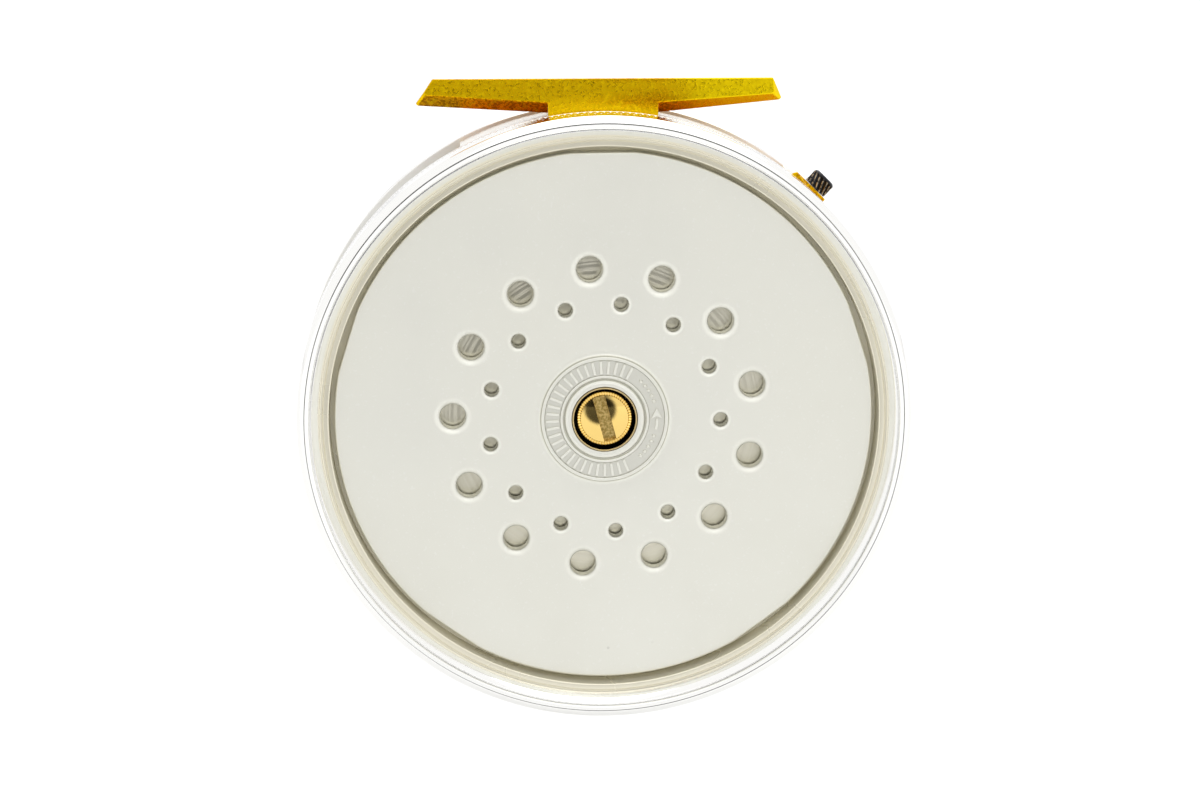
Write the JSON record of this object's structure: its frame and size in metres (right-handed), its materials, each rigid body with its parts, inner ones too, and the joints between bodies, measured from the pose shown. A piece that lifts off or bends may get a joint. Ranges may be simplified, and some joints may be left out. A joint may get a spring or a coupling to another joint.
{
  "type": "fly reel",
  "caption": "Narrow-drum fly fishing reel with a ventilated back plate in a bright rim, gold foot, check regulator and side handle.",
  "frame": {"origin": "centre of the foot's flat seat face, the face that lies on the rod", "axes": "+Z out of the seat face towards the rod, -Y out of the ventilated back plate, +Y towards the handle, spindle along Y, 56 mm below the seat"},
  "size_m": [0.1016, 0.0452, 0.1068],
  "materials": {
    "polished_rim": "polished nickel-bright aluminium, finely turned",
    "satin_plate": "satin bead-blasted aluminium, warm grey",
    "drum_silver": "satin champagne-silver aluminium",
    "gold_anodised": "grainy satin gold anodising",
    "polished_brass": "polished brass",
    "turned_brass": "turned brass",
    "bearing_steel": "ground and polished bearing steel",
    "steel_screw": "plain steel",
    "spring_steel": "blued spring steel",
    "black_nut": "blackened brass with rubbed ridges",
    "handle_black": "turned black ebonite"
  },
  "bodies": {
    "frame": {"rear_rim_ring": "polished_rim", "front_rim_ring": "polished_rim", "back_plate": "satin_plate", "plate_screws": "steel_screw", "pillar_1": "drum_silver", "pillar_2": "drum_silver", "pillar_3": "drum_silver", "pillar_4": "drum_silver", "frame_screws": "steel_screw", "foot_saddle": "gold_anodised", "reel_foot": "gold_anodised", "foot_screws": "steel_screw", "regulator_block": "gold_anodised", "bearing_housing": "turned_brass", "housing_screws": "steel_screw", "outer_race_rear": "bearing_steel", "outer_race_front": "bearing_steel", "bearing_retainer": "turned_brass", "pawl_post": "steel_screw", "spring_anchor": "turned_brass", "anchor_screw": "steel_screw", "check_spring": "spring_steel"},
    "drum": {"drum": "drum_silver", "winding_plate": "drum_silver", "drum_screws": "steel_screw", "spindle_screws": "steel_screw", "spindle": "steel_screw", "retaining_washer": "steel_screw", "retaining_screw": "polished_brass", "handle_spindle": "polished_brass", "handle_washer": "polished_brass", "inner_race_rear": "bearing_steel", "inner_race_front": "bearing_steel", "bearing_spacer": "steel_screw", "check_gear": "steel_screw", "check_gear_screws": "steel_screw"},
    "ball_train_rear": {"balls_rear": "bearing_steel", "ball_cage_rear": "turned_brass"},
    "ball_train_front": {"balls_front": "bearing_steel", "ball_cage_front": "turned_brass"},
    "grip": {"handle_grip": "handle_black"},
    "pawl": {"check_pawl": "steel_screw"},
    "regulator": {"regulator_screw": "turned_brass", "regulator_nut": "black_nut"},
    "plunger": {"check_plunger": "handle_black"}
  },
  "joints": [
    {"name": "drum_spin", "type": "hinge", "parent": "frame", "child": "drum", "pos_m": [0, 0, -0.056], "axis": [0, 1, 0], "continuous": true},
    {"name": "ball_train_rear_spin", "type": "hinge", "parent": "frame", "child": "ball_train_rear", "pos_m": [0, -0.00495, -0.056], "axis": [0, 1, 0], "continuous": true},
    {"name": "ball_train_front_spin", "type": "hinge", "parent": "frame", "child": "ball_train_front", "pos_m": [0, 0.00265, -0.056], "axis": [0, 1, 0], "continuous": true},
    {"name": "grip_spin", "type": "hinge", "parent": "drum", "child": "grip", "pos_m": [0, 0.02, -0.092], "axis": [0, 1, 0], "continuous": true},
    {"name": "pawl_rock", "type": "hinge", "parent": "frame", "child": "pawl", "pos_m": [0.03018, -0.005, -0.03408], "axis": [0, 1, 0], "range_deg": [-4, 4], "stiffness_Nm_per_rad": 0.002},
    {"name": "regulator_turn", "type": "hinge", "parent": "frame", "child": "regulator", "pos_m": [0.03602, 0.0026, -0.01947], "axis": [0.7022, 0, 0.712], "range_deg": [0, 720]},
    {"name": "plunger_travel", "type": "slide", "parent": "frame", "child": "plunger", "axis": [0.7022, 0, 0.712], "range_m": [0, 0.001]}
  ],
  "couplings": [
    {"joint": "ball_train_rear_spin", "follows": "drum_spin", "ratio": 0.39474},
    {"joint": "ball_train_front_spin", "follows": "drum_spin", "ratio": 0.39474},
    {"joint": "plunger_travel", "follows": "regulator_turn", "m_per_rad": 0.000079577}
  ]
}
